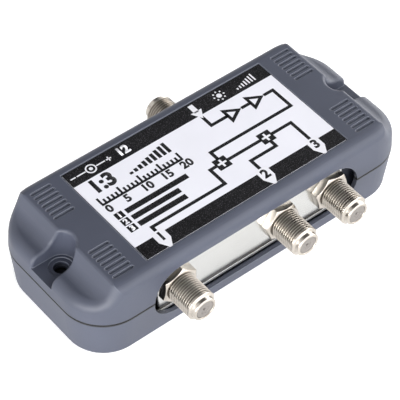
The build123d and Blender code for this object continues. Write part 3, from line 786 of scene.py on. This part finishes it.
# The label: a white plastic film stuck in the recess of the cover, printed in black with two
# strips, the circuit's plan, a level scale and figures, and in white over the black. The sizes
# are millimetres from the middle of the film, and the levels count the layers of ink.
film_low, film_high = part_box("label")
film_reach = (film_high.x - film_low.x) / 2 / MM
film_edge = (film_high.y - film_low.y) / 2 / MM
film_gap = 0.002
rear_strip = 5.8
front_strip = 5.5
strip_foot = film_edge - rear_strip
strip_head = front_strip - film_edge
strip_middle = (strip_foot + film_edge) / 2
line_width = 1.1
ink_depth = 0.008
ink_share = 0.8
ink_shine = 0.12
speck_size = 0.3 * MM
speck_detail = 1.0
speck_start = 0.56
speck_full = 0.7
speck_share = 0.6
figure_boldness = 0.045
figure_steps = 4
figure_size = 1.42
point_right = -90.0
point_front = 180.0


def place_x(node):
    """How far to the right of the middle a CAD node stands."""
    low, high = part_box(node)
    return (low.x + high.x) / 2 / MM


output_a_x = place_x("output_a_body")
output_b_x = place_x("output_b_body")
output_c_x = place_x("output_c_body")
input_x = place_x("input_body")
supply_x = place_x("dc_jack_body")
lamp_x = place_x("status_led")
gain_x = place_x("gain_trimmer_body")
film = finish(
    "label_film", seen(228, 228, 236), seen(240, 240, 244), roughness=0.38,
    grain_size=0.2 * MM, grain_depth=0.15, drift=0.02, edge_highlight=0.3, edge_width=0.1 * MM,
)
dress(film, "label")
black_ink = finish(
    "black_ink", seen(15, 15, 17), seen(60, 58, 60), roughness=0.6,
    grain_size=0.16 * MM, grain_depth=0.3, drift=0.4, edge_highlight=0.0, edge_width=0.02 * MM,
)
black_tree = black_ink.node_tree
shader_of(black_ink).inputs["Specular IOR Level"].default_value = ink_shine
black_specks = add_node(black_tree, "ShaderNodeTexNoise", {
    "Vector": add_node(black_tree, "ShaderNodeTexCoord", {}).outputs["Object"],
    "Scale": 1 / speck_size,
    "Detail": speck_detail,
})
black_thin = add_node(black_tree, "ShaderNodeMapRange", {
    "Value": black_specks.outputs["Fac"],
    "From Min": speck_start,
    "From Max": speck_full,
    "To Max": speck_share,
})
black_color = mixed(black_tree, black_thin.outputs["Result"], fed(black_ink, "Base Color"), seen(84, 83, 88))
feed(black_ink, "Base Color", black_color)
white_ink = finish(
    "white_ink", seen(226, 226, 232), seen(236, 236, 240), roughness=0.42,
    grain_size=0.16 * MM, grain_depth=0.2, drift=0.03, edge_highlight=0.0, edge_width=0.02 * MM,
)


def inked(shape, level):
    """Set a flat shape just made in its layer of ink."""
    settle(shape)
    for vertex in shape.data.vertices:
        vertex.co.z = level * ink_depth
    return shape


def patch(x_low, x_high, y_low, y_high, level=0):
    """A rectangle of ink."""
    clear_selection()
    bpy.ops.mesh.primitive_plane_add(size=1.0, location=((x_low + x_high) / 2, (y_low + y_high) / 2, 0.0))
    shape = bpy.context.active_object
    shape.scale = (x_high - x_low, y_high - y_low, 1.0)
    return inked(shape, level)


def wire_line(points):
    """A black line with square corners through points that lie along X or Y from each other."""
    shapes = []
    half = line_width / 2
    for index, ((x, y), (next_x, next_y)) in enumerate(zip(points, points[1:])):
        step = Vector((next_x - x, next_y - y)).normalized()
        skip = half if index else 0.0
        x_from = x + step.x * skip
        y_from = y + step.y * skip
        x_to = next_x + step.x * half
        y_to = next_y + step.y * half
        side_x = abs(step.y) * half
        side_y = abs(step.x) * half
        shapes.append(patch(
            min(x_from, x_to) - side_x,
            max(x_from, x_to) + side_x,
            min(y_from, y_to) - side_y,
            max(y_from, y_to) + side_y,
        ))
    return shapes


def regular(corners, x, y, radius, turn=0.0, level=0, border=0.0):
    """A regular shape of ink by its corners, whole or as an outline of a given width."""
    clear_selection()
    bpy.ops.mesh.primitive_circle_add(vertices=corners, radius=radius, fill_type="NGON")
    shape = bpy.context.active_object
    if border:
        bpy.ops.object.mode_set(mode="EDIT")
        bpy.ops.mesh.select_all(action="SELECT")
        bpy.ops.mesh.inset(thickness=border)
        bpy.ops.mesh.delete(type="FACE")
        bpy.ops.object.mode_set(mode="OBJECT")
    shape.rotation_euler.z = math.radians(turn)
    shape.location = (x, y, 0.0)
    return inked(shape, level)


def figures(text, x, y, height, level=0):
    """Plain figures, centred on a point, as tall as given."""
    clear_selection()
    bpy.ops.object.text_add()
    shape = bpy.context.active_object
    shape.data.body = text
    shape.data.align_x = "CENTER"
    shape.data.align_y = "CENTER"
    shape.data.offset = figure_boldness
    shape.data.resolution_u = figure_steps
    bpy.ops.object.convert(target="MESH")
    shape = bpy.context.active_object
    shape.scale = (height * figure_size, height * figure_size, 1.0)
    shape.location = (x, y, 0.0)
    return inked(shape, level)


def printed(name, shapes, material):
    """Join the shapes of one ink, give them its thickness and lay them on the film."""
    join(*shapes)
    sheet = bpy.context.active_object
    sheet.name = name
    body = sheet.modifiers.new("ink", "SOLIDIFY")
    body.thickness = ink_depth * ink_share
    body.offset = 1.0
    apply_modifiers(sheet)
    sheet.scale = (MM, MM, MM)
    sheet.location = (
        (film_low.x + film_high.x) / 2,
        (film_low.y + film_high.y) / 2,
        film_high.z + film_gap * MM,
    )
    settle(sheet)
    sheet.data.materials.clear()
    sheet.data.materials.append(material)
    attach(sheet, "cover")


black = [
    patch(-film_reach, film_reach, strip_foot, film_edge),
    patch(-film_reach, film_reach, -film_edge, strip_head),
]
white = []

# The plan of the circuit, in black: in at the rear, through two amplifiers, and out over two
# splitters to the three outputs. A white cross marks each splitter.
plan_rear = 8.8
plan_middle = 0.6
plan_front = -4.6
plan_foot = -11.2
plan_right = 32.8
amplifier_x = (17.0, 25.6)
amplifier_reach = 3.7
amplifier_back = amplifier_reach / 2
amplifier_line = 1.05
triangle_corners = 3
first_x = 2.4
second_x = 18.9
splitter_half = 2.2
cross_reach = 1.5
cross_half = 0.35
tag_top = strip_head + 1.2
black += wire_line([
    (input_x, strip_foot),
    (input_x, plan_rear),
    (amplifier_x[0] - amplifier_back, plan_rear),
])
black += wire_line([
    (amplifier_x[0] + amplifier_reach, plan_rear),
    (amplifier_x[1] - amplifier_back, plan_rear),
])
black += wire_line([
    (amplifier_x[1] + amplifier_reach, plan_rear),
    (plan_right, plan_rear),
    (plan_right, plan_middle),
    (first_x, plan_middle),
    (first_x, plan_front + splitter_half),
])
for x in amplifier_x:
    black.append(regular(
        triangle_corners, x, plan_rear, amplifier_reach, turn=point_right, border=amplifier_line,
    ))
black += wire_line([
    (first_x - splitter_half, plan_front),
    (first_x - 2 * splitter_half, plan_front),
    (first_x - 2 * splitter_half, plan_foot),
    (output_a_x, plan_foot),
    (output_a_x, tag_top),
])
black += wire_line([(first_x + splitter_half, plan_front), (second_x - splitter_half, plan_front)])
black += wire_line([
    (second_x + splitter_half, plan_front),
    (output_c_x, plan_front),
    (output_c_x, tag_top),
])
black += wire_line([
    (second_x, plan_front - splitter_half),
    (second_x, plan_front - 2 * splitter_half),
    (output_b_x, plan_front - 2 * splitter_half),
    (output_b_x, tag_top),
])
box_low = plan_front - splitter_half
box_high = plan_front + splitter_half
bar_low = plan_front - cross_half
bar_high = plan_front + cross_half
for x in (first_x, second_x):
    black.append(patch(x - splitter_half, x + splitter_half, box_low, box_high))
    white.append(patch(x - cross_reach, x + cross_reach, bar_low, bar_high, level=1))
    white.append(patch(x - cross_half, x + cross_half, plan_front - cross_reach, bar_low, level=1))
    white.append(patch(x - cross_half, x + cross_half, bar_high, plan_front + cross_reach, level=1))

# The front strip: at each output a white tag that points to it, with its number in black. The
# lines of the plan end in the tags.
tag_half = 2.1
tag_drop = 2.9
tag_point = 2.42
tag_figure_drop = 1.3
tag_figure_height = 3.1
for x, figure in ((output_a_x, "1"), (output_b_x, "2"), (output_c_x, "3")):
    white.append(patch(x - tag_half, x + tag_half, strip_head - tag_drop, tag_top, level=1))
    point_y = strip_head - tag_drop - tag_point / 2
    white.append(regular(triangle_corners, x, point_y, tag_point, turn=point_front, level=1))
    black.append(figures(figure, x, strip_head - tag_figure_drop, tag_figure_height, level=2))

# The rear strip: white signs over the parts at the rear wall, an arrow at the input, the poles
# of the supply with a figure, a lit lamp, and a rising wedge at the gain trimmer.
ring_corners = 36
dot_corners = 24
arrow_half = 0.85
arrow_stem_foot = 1.6
arrow_margin = 0.8
arrow_point = 2.3
arrow_point_rise = 0.9
pole_half = 0.22
pole_ring = 1.75
pole_ring_line = 0.45
pole_dot = 0.6
pole_wire_start = 1.9
pole_wire_end = 5.0
sign_start = 5.4
sign_end = 7.2
sign_half = 0.9
supply_figure_gap = 11.4
supply_figure_height = 3.0
lamp_radius = 0.85
lamp_rays = 8
ray_distance = 1.75
ray_radius = 0.36
ray_corners = 4
wedge_ticks = 7
wedge_step = 1.1
wedge_half = 0.25
wedge_foot = strip_middle - 1.6
wedge_start = 0.7
wedge_rise = 0.4
stem_foot = strip_foot + arrow_stem_foot
stem_head = film_edge - arrow_margin
point_y = strip_foot + arrow_point_rise
white.append(patch(input_x - arrow_half, input_x + arrow_half, stem_foot, stem_head, level=1))
white.append(regular(triangle_corners, input_x, point_y, arrow_point, turn=point_front, level=1))
pole_low = strip_middle - pole_half
pole_high = strip_middle + pole_half
white.append(regular(ring_corners, supply_x, strip_middle, pole_ring, level=1, border=pole_ring_line))
white.append(regular(dot_corners, supply_x, strip_middle, pole_dot, level=1))
for near, far in ((pole_wire_start, pole_wire_end), (sign_start, sign_end)):
    white.append(patch(supply_x - far, supply_x - near, pole_low, pole_high, level=1))
    white.append(patch(supply_x + near, supply_x + far, pole_low, pole_high, level=1))
plus_x = supply_x + (sign_start + sign_end) / 2
plus_low = strip_middle - sign_half
plus_high = strip_middle + sign_half
white.append(patch(plus_x - pole_half, plus_x + pole_half, plus_low, plus_high, level=1))
white.append(figures("12", supply_x + supply_figure_gap, strip_middle, supply_figure_height, level=1))
white.append(regular(dot_corners, lamp_x, strip_middle, lamp_radius, level=1))
for ray in range(lamp_rays):
    angle = math.tau * ray / lamp_rays
    ray_x = lamp_x + math.cos(angle) * ray_distance
    ray_y = strip_middle + math.sin(angle) * ray_distance
    white.append(regular(ray_corners, ray_x, ray_y, ray_radius, turn=math.degrees(angle), level=1))
for tick in range(wedge_ticks):
    tick_x = gain_x + (tick - (wedge_ticks - 1) / 2) * wedge_step
    tick_top = wedge_foot + wedge_start + wedge_rise * tick
    white.append(patch(tick_x - wedge_half, tick_x + wedge_half, wedge_foot, tick_top, level=1))

# The left half, in black: one in to three out with rising bars, a level scale with ticks and
# figures, and a row for each output with its number in a box and a bar.
scale_left = -34.0
scale_step = 1.42
scale_count = 21
scale_group = 5
scale_line = 4.1
scale_line_width = 0.8
scale_overhang = 0.3
tick_half = 0.36
tick_tall = 2.6
tick_short = 1.4
scale_figure_drop = 2.65
scale_figure_height = 2.7
zero_shift = 0.7
heading_x = scale_left + 5.0
heading_foot = 7.9
heading_height = 4.9
bar_count = 9
bar_left = scale_left + 13.2
bar_step = 1.72
bar_width = 1.15
bar_start = 0.9
bar_rise = 0.425
row_top = -2.2
row_step = 2.95
row_box = 2.7
row_box_half = 1.25
row_figure_height = 1.9
row_bar_left = scale_left + 3.6
row_bar_half = 0.95
row_lengths = {"1": 22.0, "2": 17.0, "3": 17.0}
black.append(figures("1:3", heading_x, heading_foot + heading_height / 2, heading_height))
for bar in range(bar_count):
    x = bar_left + bar_step * bar
    black.append(patch(x, x + bar_width, heading_foot, heading_foot + bar_start + bar_rise * bar))
scale_right = scale_left + scale_step * (scale_count - 1)
black.append(patch(
    scale_left - scale_overhang, scale_right + scale_overhang, scale_line - scale_line_width, scale_line,
))
for tick in range(scale_count):
    x = scale_left + scale_step * tick
    marked = tick % scale_group == 0
    tall = tick_tall if marked else tick_short
    black.append(patch(x - tick_half, x + tick_half, scale_line, scale_line + tall))
    if marked:
        figure_x = x if tick else x + zero_shift
        black.append(figures(str(tick), figure_x, scale_line - scale_figure_drop, scale_figure_height))
for row, (figure, length) in enumerate(row_lengths.items()):
    y = row_top - row_step * row
    black.append(patch(scale_left, scale_left + row_box, y - row_box_half, y + row_box_half))
    white.append(figures(figure, scale_left + row_box / 2, y, row_figure_height, level=1))
    black.append(patch(row_bar_left, row_bar_left + length, y - row_bar_half, y + row_bar_half))
printed("label_black_print", black, black_ink)
printed("label_white_print", white, white_ink)
